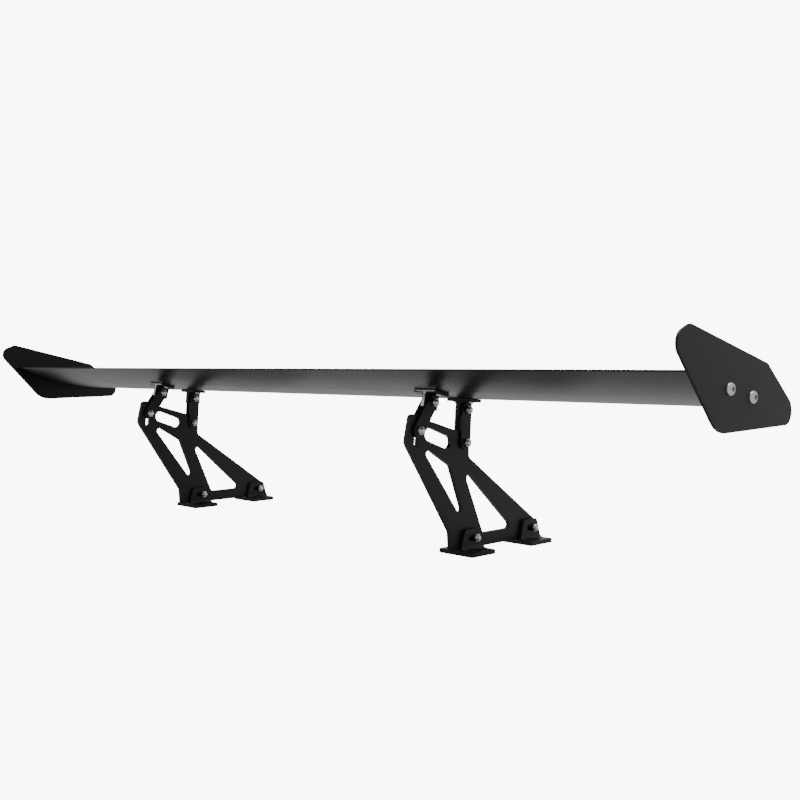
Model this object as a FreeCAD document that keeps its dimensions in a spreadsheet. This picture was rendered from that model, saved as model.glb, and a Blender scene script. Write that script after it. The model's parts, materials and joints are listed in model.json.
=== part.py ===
import FreeCAD, Part
import math
import os

import Sketcher

# Adjustable aluminium rear wing for a car: an extruded blade with two end plates,
# carried by two truss stanchions on slotted feet.
# Frame: X along the span, +Y to the front of the car, +Z up, millimetres.
# The origin is on the ground, in the middle of the wing's length and depth.

SHEET = "Dimensions"

# ---------------------------------------------------------------- driving dimensions
DIMS = {
    # blade
    "span": 1448.0,               # over the outer faces of the two end plates
    "plate_thickness": 3.0,
    "underside_radius": 366.0,    # curve of the blade's underside
    "nose_radius": 12.0,
    "skin": 2.4,                  # wall of the extrusion
    "boss_half_width": 7.5,       # solid rib round each screw channel
    "channel_radius": 4.05,       # screw channel, runs the whole length
    "plate_hole_radius": 4.3,
    # T brackets under the blade
    "tee_width": 38.0,
    "tee_length": 25.0,
    "tee_flange": 4.0,
    "tee_web": 6.35,
    "tee_height": 22.5,
    "tee_drop": 14.0,             # pivot below the top of the flange
    "tee_fillet": 1.0,
    "tee_screw_spacing": 25.0,
    "tee_screw_radius": 2.0,
    "tee_screw_depth": 9.0,       # how far the screw goes into the blade
    "tee_hole_radius": 2.15,
    # links
    "link_centres": 43.0,
    "link_end_radius": 9.0,
    "link_thickness": 3.2,
    # stanchions
    "stand_offset": 318.0,        # middle of each stanchion from the middle of the wing
    "stand_thickness": 6.35,
    "pivot_hole_radius": 3.08,
    "slot_half_width": 3.5,
    "window_slot_radius": 8.5,
    # feet
    "foot_width": 58.0,
    "foot_length": 46.0,
    "foot_flange": 4.5,
    "foot_lug": 5.0,
    "foot_slot_travel": 9.6,
    "foot_slot_half_width": 3.3,
    "foot_hole_radius": 4.3,
    "foot_fillet": 6.0,
    "pad_thickness": 1.5,
    # clearance between faces that slide on each other
    "gap": 0.3,
    # button-head bolts and nuts
    "bolt_radius": 3.0,
    "bolt_head_radius": 5.25,
    "bolt_head_height": 3.3,
    "bolt_socket": 4.0,
    "bolt_socket_depth": 2.0,
    "plate_screw_radius": 4.0,
    "plate_screw_head_radius": 7.0,
    "plate_screw_head_height": 4.4,
    "plate_screw_socket": 5.0,
    "plate_screw_socket_depth": 2.6,
    "plate_screw_depth": 25.0,    # how far the screw goes into its channel
    "small_head_radius": 3.8,
    "small_head_height": 2.2,
    "small_socket": 2.5,
    "small_socket_depth": 1.3,
    "nut_flats": 10.0,
    "nut_height": 4.6,
    "nut_collar_radius": 4.5,
    "nut_collar_height": 1.4,
    "nut_bore_radius": 3.05,
    "bolt_end": 1.5,              # bolt showing past its nut
}

# ---------------------------------------------------------------- outlines
# Each corner is (name, y, z, rounding radius).

# End plate and blade section, from the plate's peak (the wing's datum).
PLATE_OUTLINE = [
    ("peak", 0.0, 0.0, 10.0),
    ("brow", 158.0, -37.0, 6.0),
    ("chin", 244.0, -102.6, 15.4),
    ("heel", 52.8, -106.3, 38.0),
    ("tail", -34.0, -13.5, 14.3),
]
PLATE_SCREWS = [("rear", 75.1, -62.5), ("front", 122.5, -71.5)]
EDGE_TOP = ("edge_top", 7.0, -43.5)
EDGE_LOW = ("edge_low", 8.0, -45.5)
BELLY = ("belly", 153.0, -84.0)
TEE_Y = {"rear": 79.2, "front": 141.0}
LINK_LEAN = {"rear": 36.4, "front": 3.6}     # degrees, foot of the link to the rear

# Stanchion, from its front pivot.
STAND_OUTLINE = [
    ("crown", -98.3, 40.2, 6.0),
    ("shoulder", -106.6, 4.5, 12.0),
    ("knee", -26.2, -115.4, 12.0),
    ("sole_rear", -24.6, -140.5, 2.0),
    ("sole_front", 154.2, -140.5, 4.0),
    ("toe", 154.2, -119.2, 8.0),
    ("throat", 10.2, -19.9, 6.0),
    ("brow", 10.2, 9.4, 8.0),
    ("nape", -67.8, 31.4, 8.0),
    ("crest", -80.8, 39.4, 7.0),
]
REAR_WINDOW = [
    ("rear_top", -85.6, 6.0, 5.0),
    ("front_top", -25.8, -29.1, 5.0),
    ("low", 9.0, -117.0, 4.8),
]
FRONT_WINDOW = [
    ("top", -3.6, -28.7, 5.0),
    ("rear_low", 38.6, -123.2, 4.0),
    ("front_low", 102.3, -123.2, 5.0),
]
TOP_WINDOW = [("rear", -64.8, 13.4), ("front", -33.0, 1.9)]
FOOT_BOLTS = {"rear": (17.3, -126.3), "front": (140.1, -126.3)}
SLOT_ARC = (159.5, 178.5)          # degrees round the front pivot

# Foot, from its bolt.
FOOT_CENTRE_Y = -6.5
FOOT_FACE_Z = -15.0                # top of the flange
LUG_CENTRE_Y = -5.5
LUG_TOP_Z = 12.0
LUG_TOP_HALF = 14.0
LUG_BASE_HALF = 21.5
LUG_CORNER = 6.0
FOOT_HOLE_X = 20.5
DEPTH_SHIFT = 2.013                # front pivot ahead of the middle of the wing's depth

SIDES = {"left": -1.0, "right": 1.0}
PLACES = ("rear", "front")
FACES = {"nut_side": 1, "head_side": -1}    # faces of a stanchion: +X takes the nuts, -X the bolt heads

doc = FreeCAD.newDocument("rear_wing")
sheet = doc.addObject("Spreadsheet::Sheet", SHEET)
cell_row = [1]


def put(alias, value):
    """Writes one driving dimension to the sheet."""
    row = cell_row[0]
    sheet.set(f"A{row}", alias)
    sheet.set(f"B{row}", f"{value:.6g}")
    sheet.setAlias(f"B{row}", alias)
    DIMS[alias] = value
    cell_row[0] += 1


def put_outline(part, corners):
    """Writes an outline's corners to the sheet and returns their aliases."""
    names = []
    for name, y, z, *radius in corners:
        base = f"{part}_{name}"
        put(f"{base}_y", y)
        put(f"{base}_z", z)
        if radius:
            put(f"{base}_radius", radius[0])
        names.append(base)
    return names


for alias, value in list(DIMS.items()):
    put(alias, value)
plate_corners = put_outline("plate", PLATE_OUTLINE)
plate_screws = put_outline("plate_screw", PLATE_SCREWS)
stand_corners = put_outline("stand", STAND_OUTLINE)
rear_window = put_outline("rear_window", REAR_WINDOW)
front_window = put_outline("front_window", FRONT_WINDOW)
top_window = put_outline("top_window", TOP_WINDOW)
put_outline("blade", [EDGE_TOP, EDGE_LOW, BELLY])
doc.recompute()

D = DIMS


# ---------------------------------------------------------------- geometry of the section
def underside_centre():
    """Centre of the arc through the two ends of the underside."""
    y0, z0 = D["blade_edge_low_y"], D["blade_edge_low_z"]
    y1, z1 = D["blade_belly_y"], D["blade_belly_z"]
    half = math.hypot(y1 - y0, z1 - z0) / 2
    rise = math.sqrt(D["underside_radius"] ** 2 - half ** 2)
    ny, nz = -(z1 - z0) / (2 * half), (y1 - y0) / (2 * half)
    return (y0 + y1) / 2 + ny * rise, (z0 + z1) / 2 + nz * rise


ARC_Y, ARC_Z = underside_centre()


def underside(y):
    """Height of the underside at y, and its slope in degrees."""
    z = ARC_Z - math.sqrt(D["underside_radius"] ** 2 - (y - ARC_Y) ** 2)
    return z, math.degrees(math.atan2(y - ARC_Y, ARC_Z - z))


def nose():
    """Centre of the nose arc and its tangent point with the upper face."""
    by, bz = D["blade_belly_y"], D["blade_belly_z"]
    reach = math.hypot(ARC_Y - by, ARC_Z - bz)
    r = D["nose_radius"]
    cy = by + (ARC_Y - by) * r / reach
    cz = bz + (ARC_Z - bz) * r / reach
    dy, dz = cy - D["blade_edge_top_y"], cz - D["blade_edge_top_z"]
    far = math.hypot(dy, dz)
    angle = math.atan2(dz, dy) + math.asin(r / far)
    length = math.sqrt(far ** 2 - r ** 2)
    brow_y = D["blade_edge_top_y"] + length * math.cos(angle)
    brow_z = D["blade_edge_top_z"] + length * math.sin(angle)
    return cy, cz, brow_y, brow_z


NOSE_Y, NOSE_Z, BROW_Y, BROW_Z = nose()


def upper_face(y):
    """Height of the upper face at y."""
    share = (y - D["blade_edge_top_y"]) / (BROW_Y - D["blade_edge_top_y"])
    return D["blade_edge_top_z"] + share * (BROW_Z - D["blade_edge_top_z"])


# ---------------------------------------------------------------- where things are
def turned(y, z, degrees):
    """A point turned about X."""
    a = math.radians(degrees)
    return y * math.cos(a) - z * math.sin(a), y * math.sin(a) + z * math.cos(a)


def tee_seat(place):
    """Where a T bracket meets the underside, from the wing's datum, and its slope."""
    y = TEE_Y[place]
    z, slope = underside(y)
    return y, z, slope


def upper_pivot(place):
    y, z, slope = tee_seat(place)
    dy, dz = turned(0, -D["tee_drop"], slope)
    return y + dy, z + dz


def lower_pivot(place):
    y, z = upper_pivot(place)
    dy, dz = turned(0, -D["link_centres"], -LINK_LEAN[place])
    return y + dy, z + dz


SOLE_HEIGHT = -FOOT_FACE_Z + D["foot_flange"] + D["pad_thickness"]
STAND_Y = DEPTH_SHIFT
STAND_Z = SOLE_HEIGHT - FOOT_BOLTS["rear"][1]
WING_Y = STAND_Y - lower_pivot("front")[0]
WING_Z = STAND_Z - lower_pivot("front")[1]
LOWER = {place: lower_pivot(place) for place in ("rear", "front")}
put("slot_arc_radius", math.dist(LOWER["rear"], LOWER["front"]))
put("stand_y", STAND_Y)
put("stand_z", STAND_Z)
put("wing_y", WING_Y)
put("wing_z", WING_Z)
doc.recompute()


# ---------------------------------------------------------------- document helpers
nodes = {}


def place(thing, x=None, y=None, z=None, turn=0.0, about=0.0):
    """Puts a sub-part in place; x, y and z are expressions over the sheet.

    turn is an angle about X, about is one about Z."""
    tilt = FreeCAD.Rotation(FreeCAD.Vector(1, 0, 0), turn)
    swing = FreeCAD.Rotation(FreeCAD.Vector(0, 0, 1), about)
    thing.Placement = FreeCAD.Placement(FreeCAD.Vector(0, 0, 0), swing.multiply(tilt))
    for axis, expression in (("x", x), ("y", y), ("z", z)):
        if expression is not None:
            thing.setExpression(f"Placement.Base.{axis}", expression)


def cell(alias):
    return f"{SHEET}.{alias}"


def new_body(name, keep=True):
    body = doc.addObject("PartDesign::Body", name)
    body.Label = name
    if keep:
        nodes[name] = body
    return body


def new_sketch(body, name, plane, offset=None):
    """A sketch on one of the body's own origin planes."""
    sketch = body.newObject("Sketcher::SketchObject", name)
    support = [f for f in body.Origin.OriginFeatures if f.Role == plane][0]
    sketch.AttachmentSupport = [(support, "")]
    sketch.MapMode = "FlatFace"
    if offset is not None:
        sketch.setExpression("AttachmentOffset.Base.z", offset)
    return sketch


def hold(sketch, geometry, point, u, v, bind=None):
    """Holds a point at (u, v) from the sketch's origin; bind names its cells."""
    for kind, value, suffix in (("DistanceX", u, "y"), ("DistanceY", v, "z")):
        index = sketch.addConstraint(Sketcher.Constraint(kind, -1, 1, geometry, point, value))
        if bind:
            sketch.setExpression(f"Constraints[{index}]", cell(f"{bind}_{suffix}"))


def closed_outline(sketch, corners):
    """Straight-sided outline; each corner is a cell name or a (u, v) pair."""
    spots = []
    for corner in corners:
        if isinstance(corner, str):
            spots.append((D[f"{corner}_y"], D[f"{corner}_z"], corner))
        else:
            spots.append((corner[0], corner[1], None))
    count = len(spots)
    for i, (u, v, _) in enumerate(spots):
        u2, v2, _ = spots[(i + 1) % count]
        sketch.addGeometry(Part.LineSegment(FreeCAD.Vector(u, v, 0), FreeCAD.Vector(u2, v2, 0)), False)
    for i in range(count):
        sketch.addConstraint(Sketcher.Constraint("Coincident", i, 2, (i + 1) % count, 1))
    for i, (u, v, bind) in enumerate(spots):
        hold(sketch, i, 1, u, v, bind)


def add_circle(sketch, u, v, radius_alias, bind=None):
    circle = Part.Circle(FreeCAD.Vector(u, v, 0), FreeCAD.Vector(0, 0, 1), D[radius_alias])
    index = sketch.addGeometry(circle, False)
    hold(sketch, index, 3, u, v, bind)
    limit = sketch.addConstraint(Sketcher.Constraint("Radius", index, D[radius_alias]))
    sketch.setExpression(f"Constraints[{limit}]", cell(radius_alias))


def add_slot(sketch, start, end, radius_alias, binds=(None, None)):
    """Round-ended slot between two centres."""
    r = D[radius_alias]
    along = math.atan2(end[1] - start[1], end[0] - start[0])
    first = sketch.GeometryCount
    for centre, turn in ((start, math.pi / 2), (end, -math.pi / 2)):
        circle = Part.Circle(FreeCAD.Vector(*centre, 0), FreeCAD.Vector(0, 0, 1), r)
        sketch.addGeometry(Part.ArcOfCircle(circle, along + turn, along + turn + math.pi), False)
    side = FreeCAD.Vector(-math.sin(along) * r, math.cos(along) * r, 0)
    a = FreeCAD.Vector(*start, 0)
    b = FreeCAD.Vector(*end, 0)
    sketch.addGeometry(Part.LineSegment(a - side, b - side), False)
    sketch.addGeometry(Part.LineSegment(b + side, a + side), False)
    rear, front, low, top = first, first + 1, first + 2, first + 3
    for g1, p1, g2, p2 in ((rear, 2, low, 1), (low, 2, front, 1), (front, 2, top, 1), (top, 2, rear, 1)):
        sketch.addConstraint(Sketcher.Constraint("Tangent", g1, p1, g2, p2))
    sketch.addConstraint(Sketcher.Constraint("Equal", rear, front))
    hold(sketch, rear, 3, *start, binds[0])
    hold(sketch, front, 3, *end, binds[1])
    limit = sketch.addConstraint(Sketcher.Constraint("Radius", rear, r))
    sketch.setExpression(f"Constraints[{limit}]", cell(radius_alias))


def add_arc_slot(sketch, radius_alias, start, end, width_alias):
    """Slot bent round the sketch's origin, between two angles in degrees."""
    big, r = D[radius_alias], D[width_alias]
    a0, a1 = math.radians(start), math.radians(end)
    up = FreeCAD.Vector(0, 0, 1)
    zero = FreeCAD.Vector(0, 0, 0)
    c0 = FreeCAD.Vector(big * math.cos(a0), big * math.sin(a0), 0)
    c1 = FreeCAD.Vector(big * math.cos(a1), big * math.sin(a1), 0)
    arcs = (
        Part.ArcOfCircle(Part.Circle(zero, up, big + r), a0, a1),
        Part.ArcOfCircle(Part.Circle(c1, up, r), a1, a1 + math.pi),
        Part.ArcOfCircle(Part.Circle(zero, up, big - r), a0, a1),
        Part.ArcOfCircle(Part.Circle(c0, up, r), a0 + math.pi, a0 + 2 * math.pi),
    )
    first = sketch.GeometryCount
    for arc in arcs:
        sketch.addGeometry(arc, False)
    for g1, p1, g2, p2 in ((0, 2, 1, 1), (1, 2, 2, 2), (2, 1, 3, 1), (3, 2, 0, 1)):
        sketch.addConstraint(Sketcher.Constraint("Tangent", first + g1, p1, first + g2, p2))
    sketch.addConstraint(Sketcher.Constraint("Coincident", first, 3, -1, 1))
    sketch.addConstraint(Sketcher.Constraint("Coincident", first + 2, 3, -1, 1))
    hold(sketch, first + 1, 3, c1.x, c1.y)
    sketch.addConstraint(Sketcher.Constraint("DistanceY", -1, 1, first + 3, 3, c0.y))
    limit = sketch.addConstraint(Sketcher.Constraint("Radius", first + 1, r))
    sketch.setExpression(f"Constraints[{limit}]", cell(width_alias))


def pad(body, sketch, name, length, both=True, back=False):
    feature = body.newObject("PartDesign::Pad", name)
    feature.Profile = sketch
    feature.Midplane = both
    feature.Reversed = back
    feature.setExpression("Length", length)
    sketch.Visibility = False
    doc.recompute()
    return feature


def cut_through(body, sketch, name):
    """Pocket right through the body, both ways from the sketch."""
    before = body.Shape.Volume
    feature = body.newObject("PartDesign::Pocket", name)
    feature.Profile = sketch
    feature.Type = "ThroughAll"
    feature.Midplane = True
    doc.recompute()
    if not body.Shape.Volume < before - 0.01:
        raise RuntimeError(f"{body.Label}: {name} cuts nothing")
    return feature


def round_corners(body, feature, name, corners):
    """Rounds the edges that run along X through named corners, one fillet per radius."""
    groups = {}
    for corner in corners:
        groups.setdefault(D[f"{corner}_radius"], []).append(corner)
    for i, (radius, group) in enumerate(groups.items()):
        edges = []
        for corner in group:
            y, z = D[f"{corner}_y"], D[f"{corner}_z"]
            edges += edges_at(feature.Shape, y, z)
        feature = add_fillet(body, feature, f"{name}{i}", edges, cell(f"{group[0]}_radius"))
    return feature


def edges_at(shape, y, z):
    """Names of the straight edges along X at (y, z)."""
    found = []
    for i, edge in enumerate(shape.Edges, 1):
        ends = [v.Point for v in edge.Vertexes]
        if len(ends) != 2 or abs(ends[0].x - ends[1].x) < 0.1:
            continue
        if all(math.hypot(p.y - y, p.z - z) < 0.02 for p in ends):
            found.append(f"Edge{i}")
    if not found:
        raise RuntimeError(f"no edge along X at {y}, {z}")
    return found


def add_fillet(body, feature, name, edges, radius):
    fillet = body.newObject("PartDesign::Fillet", name)
    fillet.Base = (feature, edges)
    fillet.setExpression("Radius", radius)
    doc.recompute()
    return fillet


# ---------------------------------------------------------------- the wing
def section_outline(sketch):
    """The blade's outer section: thin rear edge, curved underside, round nose, flat top."""
    low = FreeCAD.Vector(D["blade_edge_low_y"], D["blade_edge_low_z"], 0)
    top = FreeCAD.Vector(D["blade_edge_top_y"], D["blade_edge_top_z"], 0)
    belly = FreeCAD.Vector(D["blade_belly_y"], D["blade_belly_z"], 0)
    brow = FreeCAD.Vector(BROW_Y, BROW_Z, 0)
    up = FreeCAD.Vector(0, 0, 1)
    arc = Part.Circle(FreeCAD.Vector(ARC_Y, ARC_Z, 0), up, D["underside_radius"])
    ring = Part.Circle(FreeCAD.Vector(NOSE_Y, NOSE_Z, 0), up, D["nose_radius"])

    def angle(point, y, z):
        return math.atan2(point.y - z, point.x - y)

    sketch.addGeometry(Part.LineSegment(top, low), False)
    sketch.addGeometry(Part.ArcOfCircle(arc, angle(low, ARC_Y, ARC_Z), angle(belly, ARC_Y, ARC_Z)), False)
    sketch.addGeometry(Part.ArcOfCircle(ring, angle(belly, NOSE_Y, NOSE_Z), angle(brow, NOSE_Y, NOSE_Z)), False)
    sketch.addGeometry(Part.LineSegment(brow, top), False)
    sketch.addConstraint(Sketcher.Constraint("Coincident", 0, 2, 1, 1))
    sketch.addConstraint(Sketcher.Constraint("Tangent", 1, 2, 2, 1))
    sketch.addConstraint(Sketcher.Constraint("Tangent", 2, 2, 3, 1))
    sketch.addConstraint(Sketcher.Constraint("Coincident", 3, 2, 0, 1))
    hold(sketch, 0, 1, top.x, top.y, "blade_edge_top")
    hold(sketch, 0, 2, low.x, low.y, "blade_edge_low")
    hold(sketch, 1, 2, belly.x, belly.y, "blade_belly")
    for geometry, alias in ((1, "underside_radius"), (2, "nose_radius")):
        limit = sketch.addConstraint(Sketcher.Constraint("Radius", geometry, D[alias]))
        sketch.setExpression(f"Constraints[{limit}]", cell(alias))


def chamber(start, end, steps=4):
    """Corners of a hollow chamber between two stations, one skin inside the section."""
    skin = D["skin"]
    stations = [start + (end - start) * i / steps for i in range(steps + 1)]
    low = [(y, underside(y)[0] + skin / math.cos(math.radians(underside(y)[1]))) for y in stations]
    return low + [(end, upper_face(end) - skin), (start, upper_face(start) - skin)]


def make_blade():
    body = new_body("wing_blade")
    sketch = new_sketch(body, "blade_section", "YZ_Plane")
    section_outline(sketch)
    feature = body.newObject("PartDesign::Pad", "blade_extrusion")
    feature.Profile = sketch
    feature.Midplane = True
    feature.setExpression("Length", f"{cell('span')} - 2 * {cell('plate_thickness')}")
    doc.recompute()
    rear = D["plate_screw_rear_y"]
    front = D["plate_screw_front_y"]
    wide = D["boss_half_width"]
    hollow = new_sketch(body, "blade_chambers", "YZ_Plane")
    first = 0
    for start, end in ((34.0, rear - wide), (rear + wide, front - wide), (front + wide, NOSE_Y + 4)):
        corners = chamber(start, end)
        for i, (u, v) in enumerate(corners):
            u2, v2 = corners[(i + 1) % len(corners)]
            hollow.addGeometry(Part.LineSegment(FreeCAD.Vector(u, v, 0), FreeCAD.Vector(u2, v2, 0)), False)
        for i in range(len(corners)):
            after = first + (i + 1) % len(corners)
            hollow.addConstraint(Sketcher.Constraint("Coincident", first + i, 2, after, 1))
            hold(hollow, first + i, 1, *corners[i])
        first += len(corners)
    cut_through(body, hollow, "blade_hollows")
    channels = new_sketch(body, "screw_channel_circles", "YZ_Plane")
    for name, (_, y, z) in zip(plate_screws, PLATE_SCREWS):
        add_circle(channels, y, z, "channel_radius", name)
    cut_through(body, channels, "screw_channels")
    for side, sign in SIDES.items():
        for where in PLACES:
            for end in (-1, 1):
                y, z, slope = tee_seat(where)
                x = sign * D["stand_offset"] + end * D["tee_screw_spacing"] / 2
                drill = body.newObject("PartDesign::SubtractiveCylinder", f"tapping_{side}_{where}_{end + 1}")
                drill.setExpression("Radius", cell("tee_screw_radius"))
                drill.setExpression("Height", f"{cell('tee_screw_depth')} + 2")
                dy, dz = turned(0, -2, slope)
                drill.Placement = FreeCAD.Placement(
                    FreeCAD.Vector(x, y + dy, z + dz), FreeCAD.Rotation(FreeCAD.Vector(1, 0, 0), slope))
                doc.recompute()
    place(body, None, cell("wing_y"), cell("wing_z"))


def make_end_plate(side, sign):
    body = new_body(f"end_plate_{side}")
    sketch = new_sketch(body, f"end_plate_outline_{side}", "YZ_Plane")
    closed_outline(sketch, plate_corners)
    feature = pad(body, sketch, f"end_plate_sheet_{side}", cell("plate_thickness"))
    feature = round_corners(body, feature, f"end_plate_corner_{side}", plate_corners)
    holes = new_sketch(body, f"end_plate_holes_{side}", "YZ_Plane")
    for name, (_, y, z) in zip(plate_screws, PLATE_SCREWS):
        add_circle(holes, y, z, "plate_hole_radius", name)
    cut_through(body, holes, f"end_plate_drilling_{side}")
    place(body, f"{sign:.0f} * ({cell('span')} - {cell('plate_thickness')}) / 2",
          cell("wing_y"), cell("wing_z"))


def make_tee(side, sign, where):
    """T bracket from its seat on the blade, web hanging down."""
    name = f"t_bracket_{side}_{where}"
    body = new_body(name)
    half, web = D["tee_width"] / 2, D["tee_web"] / 2
    flange, height = D["tee_flange"], D["tee_height"]
    sketch = new_sketch(body, f"{name}_section", "XZ_Plane")
    closed_outline(sketch, [
        (-half, 0), (half, 0), (half, -flange), (web, -flange),
        (web, -height), (-web, -height), (-web, -flange), (-half, -flange)])
    feature = pad(body, sketch, f"{name}_extrusion", cell("tee_length"))
    inner = [
        f"Edge{i}" for i, edge in enumerate(feature.Shape.Edges, 1)
        if all(abs(abs(v.X) - web) < 0.01 and abs(v.Z + flange) < 0.01 for v in edge.Vertexes)]
    add_fillet(body, feature, f"{name}_root", inner, cell("tee_fillet"))
    pivot = new_sketch(body, f"{name}_pivot", "YZ_Plane")
    add_circle(pivot, 0, -D["tee_drop"], "pivot_hole_radius")
    cut_through(body, pivot, f"{name}_pivot_hole")
    screws = new_sketch(body, f"{name}_screws", "XY_Plane")
    for end in (-0.5, 0.5):
        add_circle(screws, end * D["tee_screw_spacing"], 0, "tee_hole_radius")
    cut_through(body, screws, f"{name}_screw_holes")
    y, z, slope = tee_seat(where)
    place(body, f"{sign:.0f} * {cell('stand_offset')}",
          f"{cell('wing_y')} + {y:.5f}", f"{cell('wing_z')} + {z:.5f}", slope)


# ---------------------------------------------------------------- stands
def make_link(side, sign, where, face, hand):
    """Flat link from its upper pivot, down one face of the T bracket's web and the stanchion."""
    name = f"link_{side}_{where}_{face}"
    body = new_body(name)
    lower = (0.0, -D["link_centres"])
    sketch = new_sketch(body, f"{name}_outline", "YZ_Plane")
    add_slot(sketch, lower, (0.0, 0.0), "link_end_radius")
    pad(body, sketch, f"{name}_plate", cell("link_thickness"))
    holes = new_sketch(body, f"{name}_pivots", "YZ_Plane")
    add_circle(holes, 0.0, 0.0, "pivot_hole_radius")
    add_circle(holes, *lower, "pivot_hole_radius")
    cut_through(body, holes, f"{name}_holes")
    y, z = upper_pivot(where)
    middle = f"(({cell('stand_thickness')} + {cell('link_thickness')}) / 2 + {cell('gap')})"
    place(body, f"{sign:.0f} * {cell('stand_offset')} + {hand} * {middle}",
          f"{cell('wing_y')} + {y:.5f}", f"{cell('wing_z')} + {z:.5f}", -LINK_LEAN[where])


def make_stanchion(side, sign):
    name = f"stanchion_{side}"
    body = new_body(name)
    sketch = new_sketch(body, f"{name}_outline", "YZ_Plane")
    closed_outline(sketch, stand_corners)
    feature = pad(body, sketch, f"{name}_plate", cell("stand_thickness"))
    feature = round_corners(body, feature, f"{name}_corner", stand_corners)
    for label, corners in (("rear_window", rear_window), ("front_window", front_window)):
        window = new_sketch(body, f"{name}_{label}", "YZ_Plane")
        closed_outline(window, corners)
        feature = cut_through(body, window, f"{name}_{label}_cut")
        feature = round_corners(body, feature, f"{name}_{label}_corner", corners)
    top = new_sketch(body, f"{name}_top_window", "YZ_Plane")
    add_slot(top, TOP_WINDOW[0][1:], TOP_WINDOW[1][1:], "window_slot_radius", top_window)
    cut_through(body, top, f"{name}_top_window_cut")
    slot = new_sketch(body, f"{name}_angle_slot", "YZ_Plane")
    add_arc_slot(slot, "slot_arc_radius", *SLOT_ARC, "slot_half_width")
    cut_through(body, slot, f"{name}_angle_slot_cut")
    holes = new_sketch(body, f"{name}_bolts", "YZ_Plane")
    add_circle(holes, 0.0, 0.0, "pivot_hole_radius")
    for spot in FOOT_BOLTS.values():
        add_circle(holes, *spot, "pivot_hole_radius")
    cut_through(body, holes, f"{name}_bolt_holes")
    place(body, f"{sign:.0f} * {cell('stand_offset')}", cell("stand_y"), cell("stand_z"))


def foot_place(body, side_sign, where):
    y, z = FOOT_BOLTS[where]
    place(body, f"{side_sign:.0f} * {cell('stand_offset')}",
          f"{cell('stand_y')} + {y}", f"{cell('stand_z')} + {z}")


def foot_sheet(sketch):
    """Outline of the flange and the pad, with the mounting hole."""
    half_x, half_y = D["foot_width"] / 2, D["foot_length"] / 2
    cy = FOOT_CENTRE_Y
    closed_outline(sketch, [
        (-half_x, cy - half_y), (half_x, cy - half_y), (half_x, cy + half_y), (-half_x, cy + half_y)])
    add_circle(sketch, FOOT_HOLE_X, cy, "foot_hole_radius")


def make_foot(side, sign, where):
    """Foot from its bolt: flange under the stanchion and a slotted lug beside it."""
    name = f"foot_{side}_{where}"
    body = new_body(name)
    flange = new_sketch(body, f"{name}_flange_outline", "XY_Plane", f"{FOOT_FACE_Z}")
    foot_sheet(flange)
    pad(body, flange, f"{name}_flange", cell("foot_flange"), both=False, back=True)
    cy = LUG_CENTRE_Y
    lug = new_sketch(body, f"{name}_lug_outline", "YZ_Plane",
                     f"{cell('stand_thickness')} / 2 + {cell('gap')}")
    closed_outline(lug, [
        (cy - LUG_BASE_HALF, FOOT_FACE_Z - 1), (cy + LUG_BASE_HALF, FOOT_FACE_Z - 1),
        (cy + LUG_BASE_HALF, FOOT_FACE_Z + 3), (cy + LUG_TOP_HALF, LUG_TOP_Z),
        (cy - LUG_TOP_HALF, LUG_TOP_Z), (cy - LUG_BASE_HALF, FOOT_FACE_Z + 3)])
    feature = pad(body, lug, f"{name}_lug", cell("foot_lug"), both=False)
    edges = edges_at(feature.Shape, cy + LUG_TOP_HALF, LUG_TOP_Z)
    edges += edges_at(feature.Shape, cy - LUG_TOP_HALF, LUG_TOP_Z)
    feature = add_fillet(body, feature, f"{name}_lug_corner", edges, f"{LUG_CORNER}")
    outer = D["stand_thickness"] / 2 + D["gap"] + D["foot_lug"]
    root = [
        f"Edge{i}" for i, edge in enumerate(feature.Shape.Edges, 1)
        if all(abs(v.X - outer) < 0.01 and abs(v.Z - FOOT_FACE_Z) < 0.01 for v in edge.Vertexes)]
    add_fillet(body, feature, f"{name}_root", root, cell("foot_fillet"))
    slot = new_sketch(body, f"{name}_slot_outline", "YZ_Plane", f"{cell('stand_thickness')} / 2 + 2")
    add_slot(slot, (-D["foot_slot_travel"], 0.0), (0.0, 0.0), "foot_slot_half_width")
    cut_through(body, slot, f"{name}_slot")
    foot_place(body, sign, where)


def make_pad(side, sign, where):
    name = f"foot_pad_{side}_{where}"
    body = new_body(name)
    sketch = new_sketch(body, f"{name}_outline", "XY_Plane", f"{FOOT_FACE_Z} - {cell('foot_flange')}")
    foot_sheet(sketch)
    pad(body, sketch, f"{name}_sheet", cell("pad_thickness"), both=False, back=True)
    foot_place(body, sign, where)


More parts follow.
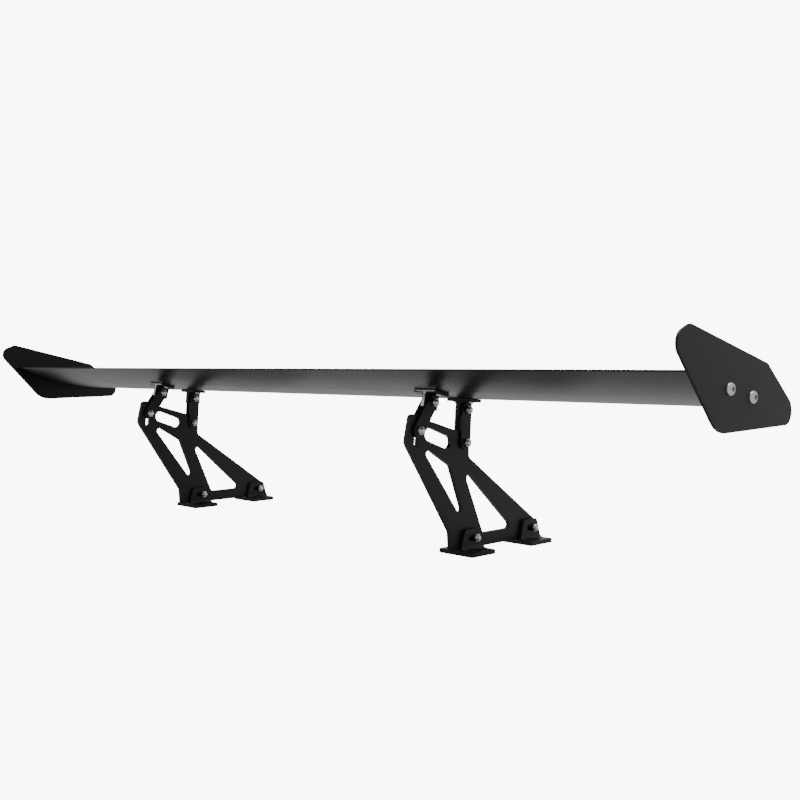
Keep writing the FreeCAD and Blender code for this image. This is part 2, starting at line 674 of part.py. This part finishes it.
# ---------------------------------------------------------------- fasteners
def button_screw(name, kind, shank, keep=True):
    """Button-head socket screw along X: head towards +X, its seat at x = 0."""
    sizes = {
        "bolt": ("bolt_radius", "bolt_head_radius", "bolt_head_height", "bolt_socket", "bolt_socket_depth"),
        "plate": ("plate_screw_radius", "plate_screw_head_radius", "plate_screw_head_height",
                  "plate_screw_socket", "plate_screw_socket_depth"),
        "small": ("tee_screw_radius", "small_head_radius", "small_head_height",
                  "small_socket", "small_socket_depth"),
    }
    radius, head, height, socket, depth = (D[alias] for alias in sizes[kind])
    body = new_body(name, keep)
    sketch = new_sketch(body, f"{name}_profile", "XZ_Plane")
    flat = head * 0.52
    crown = Part.Arc(
        FreeCAD.Vector(0.25 * height, head, 0),
        FreeCAD.Vector(0.78 * height, 0.83 * head, 0),
        FreeCAD.Vector(height, flat, 0))
    chamfer = 0.6
    spots = [(0.25 * height, head), (0, head), (0, radius), (chamfer - shank, radius),
             (-shank, radius - chamfer), (-shank, 0), (height, 0), (height, flat)]
    sketch.addGeometry(crown, False)
    for a, b in zip(spots[:-1], spots[1:]):
        sketch.addGeometry(Part.LineSegment(FreeCAD.Vector(*a, 0), FreeCAD.Vector(*b, 0)), False)
    count = sketch.GeometryCount
    ends = {}
    for g in range(count):
        for p in (1, 2):
            at = sketch.getPoint(g, p)
            ends.setdefault((round(at.x, 4), round(at.y, 4)), []).append((g, p))
    for pair in ends.values():
        sketch.addConstraint(Sketcher.Constraint("Coincident", *pair[0], *pair[1]))
    for g in range(count):
        sketch.addConstraint(Sketcher.Constraint("Block", g))
    turn = body.newObject("PartDesign::Revolution", f"{name}_turned")
    turn.Profile = sketch
    turn.ReferenceAxis = (sketch, ["H_Axis"])
    turn.Angle = 360
    doc.recompute()
    key = new_sketch(body, f"{name}_key", "YZ_Plane", f"{height}")
    reach = socket / math.sqrt(3)
    closed_outline(key, [
        (reach * math.cos(math.radians(60 * i)), reach * math.sin(math.radians(60 * i))) for i in range(6)])
    before = body.Shape.Volume
    pocket = body.newObject("PartDesign::Pocket", f"{name}_socket")
    pocket.Profile = key
    pocket.Type = "Length"
    pocket.Length = depth
    doc.recompute()
    if not body.Shape.Volume < before - 0.01:
        pocket.Reversed = True
        doc.recompute()
    if not body.Shape.Volume < before - 0.01:
        raise RuntimeError(f"{name}: the socket cuts nothing")
    return body


def lock_nut(name):
    """Nylon-insert lock nut along X: its seat at x = 0, towards -X."""
    body = new_body(name)
    sketch = new_sketch(body, f"{name}_hexagon", "YZ_Plane")
    reach = D["nut_flats"] / math.sqrt(3)
    closed_outline(sketch, [
        (reach * math.cos(math.radians(60 * i)), reach * math.sin(math.radians(60 * i))) for i in range(6)])
    pad(body, sketch, f"{name}_flats", cell("nut_height"), both=False, back=True)
    ring = new_sketch(body, f"{name}_ring", "YZ_Plane", f"-{cell('nut_height')}")
    add_circle(ring, 0.0, 0.0, "nut_collar_radius")
    pad(body, ring, f"{name}_collar", cell("nut_collar_height"), both=False, back=True)
    bore = new_sketch(body, f"{name}_bore", "YZ_Plane")
    add_circle(bore, 0.0, 0.0, "nut_bore_radius")
    cut_through(body, bore, f"{name}_thread")
    return body


NUT_STACK = D["nut_height"] + D["nut_collar_height"] + D["bolt_end"]


def make_pivot(label, side, sign, where, y, z, seat, nut_seat):
    """One bolt with its nut; head on the left, nut on the right of the stanchion's middle."""
    bolt = button_screw(f"{label}_bolt_{side}_{where}", "bolt", seat + nut_seat + NUT_STACK)
    nut = lock_nut(f"{label}_nut_{side}_{where}")
    middle = f"{sign:.0f} * {cell('stand_offset')}"
    for thing, x in ((bolt, -seat), (nut, nut_seat)):
        place(thing, f"{middle} + {x:.4f}", y, z, about=180)


def make_pivots(side, sign):
    half, gap = D["stand_thickness"] / 2, D["gap"]
    link_face = half + gap + D["link_thickness"]
    lug_face = half + gap + D["foot_lug"]
    for where in PLACES:
        y, z = upper_pivot(where)
        make_pivot("upper_pivot", side, sign, where, f"{cell('wing_y')} + {y:.5f}",
                   f"{cell('wing_z')} + {z:.5f}", link_face + gap, link_face + gap)
        y, z = lower_pivot(where)
        make_pivot("lower_pivot", side, sign, where, f"{cell('wing_y')} + {y:.5f}",
                   f"{cell('wing_z')} + {z:.5f}", link_face, link_face)
        y, z = FOOT_BOLTS[where]
        make_pivot("foot", side, sign, where, f"{cell('stand_y')} + {y}",
                   f"{cell('stand_z')} + {z}", half, lug_face + gap)


def group(name, members):
    """Identical fasteners in one node, as separate solids."""
    compound = doc.addObject("Part::Compound", name)
    compound.Label = name
    compound.Links = members
    nodes[name] = compound


def make_plate_screws(side, sign):
    members = []
    for where, y, z in PLATE_SCREWS:
        screw = button_screw(f"end_plate_screw_{side}_{where}", "plate",
                             D["plate_thickness"] + D["plate_screw_depth"], keep=False)
        screw.Placement = FreeCAD.Placement(
            FreeCAD.Vector(sign * D["span"] / 2, WING_Y + y, WING_Z + z),
            FreeCAD.Rotation(FreeCAD.Vector(0, 0, 1), 0 if sign > 0 else 180))
        members.append(screw)
    group(f"end_plate_screws_{side}", members)


def make_tee_screws(side, sign, where):
    members = []
    y, z, slope = tee_seat(where)
    dy, dz = turned(0, -D["tee_flange"], slope)
    for end in (-1, 1):
        screw = button_screw(f"bracket_screw_{side}_{where}_{end + 1}", "small",
                             D["tee_flange"] + D["tee_screw_depth"] - 0.5, keep=False)
        x = sign * D["stand_offset"] + end * D["tee_screw_spacing"] / 2
        down = FreeCAD.Rotation(FreeCAD.Vector(1, 0, 0), FreeCAD.Vector(0, *turned(0, -1, slope)))
        screw.Placement = FreeCAD.Placement(FreeCAD.Vector(x, WING_Y + y + dy, WING_Z + z + dz), down)
        members.append(screw)
    group(f"bracket_screws_{side}_{where}", members)


# ---------------------------------------------------------------- build
make_blade()
for side, sign in SIDES.items():
    make_end_plate(side, sign)
    make_plate_screws(side, sign)
    make_stanchion(side, sign)
    for where in PLACES:
        make_tee(side, sign, where)
        make_tee_screws(side, sign, where)
        for face, hand in FACES.items():
            make_link(side, sign, where, face, hand)
        make_foot(side, sign, where)
        make_pad(side, sign, where)
    make_pivots(side, sign)
doc.recompute()

bad = [o.Name for o in doc.Objects if "Invalid" in o.State or "Error" in o.State]
if bad:
    raise RuntimeError(f"failed objects: {bad}")
os.makedirs("parts", exist_ok=True)
for name, node in nodes.items():
    shape = node.Shape
    if shape.isNull() or not shape.isValid():
        raise RuntimeError(f"{name}: bad shape")
for name, node in nodes.items():
    node.Shape.exportStep(f"parts/{name}.step")

whole = Part.makeCompound([node.Shape for node in nodes.values()]).BoundBox
print(f"{len(nodes)} nodes, size {whole.XLength:.2f} x {whole.YLength:.2f} x {whole.ZLength:.2f} mm")
print(f"wing datum y {WING_Y:.4f} z {WING_Z:.4f}, slot radius {D['slot_arc_radius']:.4f}")
for axis in "XYZ":
    print(f"{axis} {getattr(whole, axis + 'Min'):.3f} {getattr(whole, axis + 'Max'):.3f}")
for where in PLACES:
    for label, spot in (("upper", upper_pivot(where)), ("lower", lower_pivot(where))):
        print(f"{label} {where} pivot y {WING_Y + spot[0]:.3f} z {WING_Z + spot[1]:.3f}")
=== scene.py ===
import json
import math

import bmesh
import bpy
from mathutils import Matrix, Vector


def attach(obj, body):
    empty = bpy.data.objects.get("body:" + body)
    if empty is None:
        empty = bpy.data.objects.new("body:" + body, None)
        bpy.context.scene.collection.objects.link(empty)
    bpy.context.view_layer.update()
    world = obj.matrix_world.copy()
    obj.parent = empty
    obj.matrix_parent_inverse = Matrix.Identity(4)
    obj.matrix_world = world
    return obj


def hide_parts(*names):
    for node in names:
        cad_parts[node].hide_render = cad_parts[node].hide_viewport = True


# Adjustable rear wing: gloss black blade and end plates, satin black truss stands,
# bright bolts. Metres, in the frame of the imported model.

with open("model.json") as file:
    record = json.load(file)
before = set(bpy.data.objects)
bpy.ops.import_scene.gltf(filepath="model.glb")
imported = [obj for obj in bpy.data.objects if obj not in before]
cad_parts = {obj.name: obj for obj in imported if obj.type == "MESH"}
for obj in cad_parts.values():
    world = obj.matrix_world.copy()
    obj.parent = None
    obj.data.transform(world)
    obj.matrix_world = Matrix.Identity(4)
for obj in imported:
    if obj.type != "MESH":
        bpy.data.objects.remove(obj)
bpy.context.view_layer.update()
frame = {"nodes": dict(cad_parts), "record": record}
NODES = frame["nodes"]
BODIES = frame["record"]["behaviour"]["bodies"]
BODY_OF = {node: body for body, nodes in BODIES.items() for node in nodes}
SLOT_OF = {part["node"]: part["material_slot"] for part in frame["record"]["subparts"]}
SIDES = ("left", "right")
PLACES = ("rear", "front")
LINK_FACES = ("nut_side", "head_side")
FASTENERS = ("upper_pivot", "lower_pivot", "foot")
MM = 0.001

# How far each kind of piece has its sharp edges eased.
EASE = {
    "end_plate": 0.35 * MM, "plate_screw": 0.15 * MM, "stanchion": 0.4 * MM, "link": 0.3 * MM,
    "bolt": 0.15 * MM, "nut": 0.2 * MM, "foot": 0.3 * MM, "pad": 0.3 * MM, "t_bracket": 0.25 * MM}
WELD = 0.01 * MM               # corners closer than this are one corner
FLAT_ANGLE = 1.0               # degrees; neighbours closer in slope than this are one face
SHARP_ANGLE = 32.0             # degrees; edges sharper than this are eased
SMOOTH_ANGLE = 20.0            # degrees; edges flatter than this are shaded smooth
PAINTED_RIM = 0.9 * MM         # paint left round a sawn bracket end
SAWN_LEAST = 2.0 * MM * MM     # smallest face that counts as a sawn end
COLLAR_LIP = 0.3 * MM          # rolled lip of a lock nut, and how deep the insert sits in it


# ---------------------------------------------------------------- node-building helpers
def new_group(name, inputs, outputs):
    """An empty shader group with named sockets; returns it with its two end nodes."""
    group = bpy.data.node_groups.new(name, "ShaderNodeTree")
    for label, kind, default in inputs:
        socket = group.interface.new_socket(label, in_out="INPUT", socket_type=f"NodeSocket{kind}")
        if default is not None:
            socket.default_value = default
    for label, kind in outputs:
        group.interface.new_socket(label, in_out="OUTPUT", socket_type=f"NodeSocket{kind}")
    return group, group.nodes.new("NodeGroupInput"), group.nodes.new("NodeGroupOutput")


def add(tree, kind, **values):
    """A node; values name its properties, or its inputs when they are sockets."""
    node = tree.nodes.new(f"ShaderNode{kind}")
    for key, value in values.items():
        if hasattr(node, key):
            setattr(node, key, value)
        else:
            node.inputs[key.replace("_", " ")].default_value = value
    return node


def wire(tree, source, target):
    tree.links.new(source, target)


def ramp(tree, source, low, high, out_low=0.0, out_high=1.0):
    """Maps low..high to out_low..out_high, clamped."""
    node = add(tree, "MapRange", clamp=True)
    for key, value in (("From Min", low), ("From Max", high), ("To Min", out_low), ("To Max", out_high)):
        node.inputs[key].default_value = value
    wire(tree, source, node.inputs["Value"])
    return node.outputs["Result"]


# ---------------------------------------------------------------- shared surface effects
def build_coat_skin():
    """Sprayed or powder coat: orange peel for the bump, faint cloud for colour and gloss."""
    group, ins, outs = new_group(
        "coat_skin",
        [("Vector", "Vector", None), ("Peel Scale", "Float", 900.0), ("Cloud Scale", "Float", 9.0)],
        [("Peel", "Float"), ("Cloud", "Float")])
    peel = add(group, "TexNoise", Detail=2.0, Roughness=0.45)
    wire(group, ins.outputs["Vector"], peel.inputs["Vector"])
    wire(group, ins.outputs["Peel Scale"], peel.inputs["Scale"])
    cloud = add(group, "TexNoise", Detail=4.0, Roughness=0.6)
    wire(group, ins.outputs["Vector"], cloud.inputs["Vector"])
    wire(group, ins.outputs["Cloud Scale"], cloud.inputs["Scale"])
    wire(group, peel.outputs["Fac"], outs.inputs["Peel"])
    wire(group, ramp(group, cloud.outputs["Fac"], 0.3, 0.7), outs.inputs["Cloud"])
    return group


def build_drawn_grain():
    """Fine lines left along an extruded or drawn length, as a 0..1 value."""
    group, ins, outs = new_group(
        "drawn_grain",
        [("Vector", "Vector", None), ("Stretch", "Vector", (1.0, 1.0, 1.0)), ("Scale", "Float", 900.0)],
        [("Grain", "Float")])
    stretch = add(group, "VectorMath", operation="MULTIPLY")
    wire(group, ins.outputs["Vector"], stretch.inputs[0])
    wire(group, ins.outputs["Stretch"], stretch.inputs[1])
    lines = add(group, "TexNoise", Detail=3.0, Roughness=0.6)
    wire(group, stretch.outputs["Vector"], lines.inputs["Vector"])
    wire(group, ins.outputs["Scale"], lines.inputs["Scale"])
    wire(group, ramp(group, lines.outputs["Fac"], 0.3, 0.7), outs.inputs["Grain"])
    return group


def build_handling():
    """Sparse hairline marks and light dust from handling."""
    group, ins, outs = new_group(
        "handling_marks",
        [("Vector", "Vector", None), ("Amount", "Float", 0.5)],
        [("Marks", "Float")])
    smear = add(group, "TexNoise", Scale=38.0, Detail=5.0, Roughness=0.65, Distortion=0.6)
    wire(group, ins.outputs["Vector"], smear.inputs["Vector"])
    speck = add(group, "TexVoronoi", Scale=620.0)
    wire(group, ins.outputs["Vector"], speck.inputs["Vector"])
    dots = ramp(group, speck.outputs["Distance"], 0.05, 0.12, 1.0, 0.0)
    haze = ramp(group, smear.outputs["Fac"], 0.45, 0.75)
    mix = add(group, "Math", operation="MULTIPLY_ADD", use_clamp=True)
    wire(group, dots, mix.inputs[0])
    mix.inputs[1].default_value = 0.35
    wire(group, haze, mix.inputs[2])
    scaled = add(group, "Math", operation="MULTIPLY")
    wire(group, mix.outputs[0], scaled.inputs[0])
    wire(group, ins.outputs["Amount"], scaled.inputs[1])
    wire(group, scaled.outputs[0], outs.inputs["Marks"])
    return group


COAT_SKIN = build_coat_skin()
DRAWN_GRAIN = build_drawn_grain()
HANDLING = build_handling()


def place_group(tree, group, vector, **values):
    node = tree.nodes.new("ShaderNodeGroup")
    node.node_tree = group
    wire(tree, vector, node.inputs["Vector"])
    for key, value in values.items():
        node.inputs[key.replace("_", " ")].default_value = value
    return node


def new_material(name):
    material = bpy.data.materials.new(name)
    material.use_nodes = True
    tree = material.node_tree
    spot = tree.nodes.new("ShaderNodeTexCoord").outputs["Object"]
    return material, tree, tree.nodes["Principled BSDF"], spot


def colour_between(tree, factor, first, second):
    mix = add(tree, "Mix", data_type="RGBA")
    mix.inputs[6].default_value = (*first, 1.0)
    mix.inputs[7].default_value = (*second, 1.0)
    wire(tree, factor, mix.inputs[0])
    return mix.outputs[2]


def black_coat(name, dark, light, rough, peel_scale, peel_height, shine):
    """Black coat over metal; rough is the range of roughness across the cloud."""
    material, tree, shader, spot = new_material(name)
    skin = place_group(tree, COAT_SKIN, spot, Peel_Scale=peel_scale)
    wear = place_group(tree, HANDLING, spot, Amount=0.4)
    both = add(tree, "Math", operation="ADD", use_clamp=True)
    wire(tree, ramp(tree, skin.outputs["Cloud"], 0.0, 1.0, 0.0, 0.6), both.inputs[0])
    wire(tree, wear.outputs["Marks"], both.inputs[1])
    wire(tree, colour_between(tree, both.outputs[0], dark, light), shader.inputs["Base Color"])
    wire(tree, ramp(tree, both.outputs[0], 0.0, 1.0, *rough), shader.inputs["Roughness"])
    bump = add(tree, "Bump", Distance=peel_height, Strength=1.0)
    wire(tree, skin.outputs["Peel"], bump.inputs["Height"])
    wire(tree, bump.outputs["Normal"], shader.inputs["Normal"])
    shader.inputs["Specular IOR Level"].default_value = shine
    return material


def bright_metal(name, dark, light, rough, stretch, scale, bump_height):
    """Bare or plated metal with fine lines along its length."""
    material, tree, shader, spot = new_material(name)
    grain = place_group(tree, DRAWN_GRAIN, spot, Stretch=stretch, Scale=scale)
    wear = place_group(tree, HANDLING, spot, Amount=0.5)
    both = add(tree, "Math", operation="MULTIPLY_ADD", use_clamp=True)
    wire(tree, grain.outputs["Grain"], both.inputs[0])
    both.inputs[1].default_value = 0.6
    wire(tree, wear.outputs["Marks"], both.inputs[2])
    wire(tree, colour_between(tree, both.outputs[0], light, dark), shader.inputs["Base Color"])
    wire(tree, ramp(tree, both.outputs[0], 0.0, 1.0, *rough), shader.inputs["Roughness"])
    bump = add(tree, "Bump", Distance=bump_height, Strength=1.0)
    wire(tree, grain.outputs["Grain"], bump.inputs["Height"])
    wire(tree, bump.outputs["Normal"], shader.inputs["Normal"])
    shader.inputs["Metallic"].default_value = 1.0
    return material


def rubber(name):
    material, tree, shader, spot = new_material(name)
    skin = place_group(tree, COAT_SKIN, spot, Peel_Scale=1400.0, Cloud_Scale=60.0)
    wire(tree, colour_between(tree, skin.outputs["Cloud"], (0.012, 0.012, 0.012), (0.03, 0.03, 0.029)),
         shader.inputs["Base Color"])
    wire(tree, ramp(tree, skin.outputs["Peel"], 0.3, 0.7, 0.7, 0.9), shader.inputs["Roughness"])
    bump = add(tree, "Bump", Distance=0.00015, Strength=1.0)
    wire(tree, skin.outputs["Peel"], bump.inputs["Height"])
    wire(tree, bump.outputs["Normal"], shader.inputs["Normal"])
    return material


def nylon(name):
    material, tree, shader, spot = new_material(name)
    skin = place_group(tree, COAT_SKIN, spot, Peel_Scale=2500.0, Cloud_Scale=300.0)
    wire(tree, colour_between(tree, skin.outputs["Cloud"], (0.012, 0.04, 0.2), (0.02, 0.06, 0.27)),
         shader.inputs["Base Color"])
    wire(tree, ramp(tree, skin.outputs["Peel"], 0.3, 0.7, 0.35, 0.5), shader.inputs["Roughness"])
    shader.inputs["Subsurface Weight"].default_value = 0.1
    return material


GLOSS_BLACK = black_coat("gloss_black_paint", (0.004, 0.004, 0.0045), (0.007, 0.007, 0.0075), (0.3, 0.36),
                         420.0, 0.000001, shine=0.16)
PLATE_BLACK = black_coat("plate_black_coat", (0.003, 0.003, 0.0034), (0.007, 0.007, 0.0075), (0.26, 0.38),
                         1100.0, 0.000004, shine=0.2)
STAND_BLACK = black_coat("stand_black_coat", (0.004, 0.004, 0.0045), (0.008, 0.008, 0.0085), (0.36, 0.5),
                         1500.0, 0.00001, shine=0.25)
PLATED_STEEL = bright_metal("plated_steel", (0.42, 0.41, 0.39), (0.68, 0.67, 0.65), (0.16, 0.34),
                            (0.15, 1.0, 1.0), 1500.0, 0.000004)
CUT_ALUMINIUM = bright_metal("cut_aluminium", (0.62, 0.62, 0.63), (0.82, 0.82, 0.83), (0.25, 0.42),
                             (1.0, 0.2, 0.12), 1600.0, 0.000008)
PAD_RUBBER = rubber("pad_rubber")
NUT_NYLON = nylon("nut_nylon")
MATERIAL_OF = {
    "blade_paint": GLOSS_BLACK, "plate_paint": PLATE_BLACK, "bracket_paint": STAND_BLACK,
    "stand_paint": STAND_BLACK, "bright_steel": PLATED_STEEL, "pad_rubber": PAD_RUBBER}


# ---------------------------------------------------------------- pieces
def finish_piece(bm, name, body, materials):
    """Turns a bmesh into a piece that rides on a body."""
    mesh = bpy.data.meshes.new(name)
    bm.normal_update()
    bm.to_mesh(mesh)
    bm.free()
    for material in materials:
        mesh.materials.append(material)
    for face in mesh.polygons:
        face.use_smooth = True
    mesh.set_sharp_from_angle(angle=math.radians(SMOOTH_ANGLE))
    piece = bpy.data.objects.new(name, mesh)
    bpy.context.scene.collection.objects.link(piece)
    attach(piece, body)
    return piece


def eased(node, ease, second=None, paint=None):
    """A node's own shape with its sharp edges eased; paint gives some faces the second material."""
    bm = bmesh.new()
    bm.from_mesh(NODES[node].data)
    bmesh.ops.remove_doubles(bm, verts=bm.verts, dist=WELD)
    bmesh.ops.dissolve_limit(bm, angle_limit=math.radians(FLAT_ANGLE), verts=bm.verts, edges=bm.edges)
    bmesh.ops.recalc_face_normals(bm, faces=bm.faces)
    sharp = [edge for edge in bm.edges
             if len(edge.link_faces) == 2 and edge.calc_face_angle(0.0) > math.radians(SHARP_ANGLE)]
    bmesh.ops.bevel(bm, geom=sharp, offset=ease, offset_type="OFFSET", segments=2, profile=0.5,
                    affect="EDGES", clamp_overlap=True, material=-1)
    if paint:
        paint(bm)
    slot = SLOT_OF[node]
    materials = [MATERIAL_OF[slot]] + ([second] if second else [])
    piece = finish_piece(bm, f"{node}_eased", BODY_OF[node], materials)
    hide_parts(node)


def dress(node):
    """The node's own material in place of the plain one."""
    for slot in NODES[node].material_slots:
        slot.material = MATERIAL_OF[SLOT_OF[node]]


def bare_end(bm):
    """Second material inside a painted rim, on the sawn rear end of a T bracket."""
    sawn = [face for face in bm.faces if face.normal.y < -0.85 and face.calc_area() > SAWN_LEAST]
    bmesh.ops.inset_region(bm, faces=sawn, thickness=PAINTED_RIM, use_boundary=True, use_even_offset=True)
    for face in sawn:
        face.material_index = 1


def insert_ring(bm):
    """Sinks the end of a lock nut's collar inside its rolled lip, and gives it the second material."""
    end = max(vert.co.x for vert in bm.verts) - 0.02 * MM
    ring = [face for face in bm.faces if face.normal.x > 0.95 and face.calc_center_median().x > end]
    bmesh.ops.inset_region(bm, faces=ring, thickness=COLLAR_LIP, depth=-COLLAR_LIP,
                           use_boundary=True, use_even_offset=True)
    for face in ring:
        face.material_index = 1


def make_stand(side):
    """Stanchion, links, brackets, feet and fasteners of one side."""
    eased(f"stanchion_{side}", EASE["stanchion"])
    for where in PLACES:
        for face in LINK_FACES:
            eased(f"link_{side}_{where}_{face}", EASE["link"])
        for label in FASTENERS:
            eased(f"{label}_bolt_{side}_{where}", EASE["bolt"])
            eased(f"{label}_nut_{side}_{where}", EASE["nut"], NUT_NYLON, insert_ring)
        eased(f"foot_{side}_{where}", EASE["foot"])
        eased(f"foot_pad_{side}_{where}", EASE["pad"])
        bare = (CUT_ALUMINIUM, bare_end) if where == "rear" else ()
        eased(f"t_bracket_{side}_{where}", EASE["t_bracket"], *bare)


for node in NODES:
    dress(node)

for side in SIDES:
    eased(f"end_plate_{side}", EASE["end_plate"])
    eased(f"end_plate_screws_{side}", EASE["plate_screw"])
    make_stand(side)


# ---------------------------------------------------------------- studio
SKY_LIGHT = 0.8                # strength of the sky on the pieces
SKY_SEEN = 9.0                 # and where the camera looks straight at it
FLOOR_GLOW = 8.4               # the floor's own, seen by the camera only
FLOOR_SIZE = 60.0
FLOOR_DROP = 0.5 * MM          # keeps the floor from touching the pads
CAMERA_PLACE = (1.2027, -0.9865, 0.2480)
CAMERA_TURN = 45.34            # degrees round Z
CAMERA_PITCH = 1.96            # degrees down
CAMERA_LENS = 45.59


def seen_brighter(tree, lit, seen):
    """A strength that is lit for the light it gives and seen where the camera looks straight at it."""
    path = add(tree, "LightPath")
    return ramp(tree, path.outputs["Is Camera Ray"], 0.0, 1.0, lit, seen)


def make_floor():
    bm = bmesh.new()
    bmesh.ops.create_grid(bm, x_segments=1, y_segments=1, size=FLOOR_SIZE)
    mesh = bpy.data.meshes.new("studio_floor")
    bm.to_mesh(mesh)
    bm.free()
    material, tree, shader, _ = new_material("pale_floor")
    shader.inputs["Base Color"].default_value = (0.62, 0.62, 0.62, 1.0)
    shader.inputs["Roughness"].default_value = 1.0
    shader.inputs["Specular IOR Level"].default_value = 0.0
    shader.inputs["Emission Color"].default_value = (1.0, 1.0, 1.0, 1.0)
    wire(tree, seen_brighter(tree, 0.0, FLOOR_GLOW), shader.inputs["Emission Strength"])
    mesh.materials.append(material)
    floor = bpy.data.objects.new("studio_floor", mesh)
    bpy.context.scene.collection.objects.link(floor)
    floor.location = (0.0, 0.0, -FLOOR_DROP)


def make_lamp(name, place, target, size, power):
    data = bpy.data.lights.new(name, "AREA")
    data.shape = "RECTANGLE"
    data.size, data.size_y = size
    data.energy = power
    lamp = bpy.data.objects.new(name, data)
    bpy.context.scene.collection.objects.link(lamp)
    lamp.location = place
    lamp.rotation_euler = (Vector(target) - Vector(place)).to_track_quat("-Z", "Y").to_euler()


def make_world():
    world = bpy.data.worlds.new("studio_world")
    world.use_nodes = True
    tree = world.node_tree
    background = tree.nodes["Background"]
    background.inputs["Color"].default_value = (1.0, 1.0, 1.0, 1.0)
    wire(tree, seen_brighter(tree, SKY_LIGHT, SKY_SEEN), background.inputs["Strength"])
    bpy.context.scene.world = world


def make_camera():
    data = bpy.data.cameras.new("studio_camera")
    data.lens = CAMERA_LENS
    data.sensor_width = 36.0
    data.clip_end = 200.0
    camera = bpy.data.objects.new("studio_camera", data)
    bpy.context.scene.collection.objects.link(camera)
    camera.location = CAMERA_PLACE
    camera.rotation_euler = (math.radians(90.0 - CAMERA_PITCH), 0.0, math.radians(CAMERA_TURN))
    bpy.context.scene.camera = camera


make_floor()
make_world()
make_lamp("top_softbox", (0.0, -0.2, 2.6), (0.0, 0.0, 0.1), (3.0, 2.0), 60.0)
make_camera()
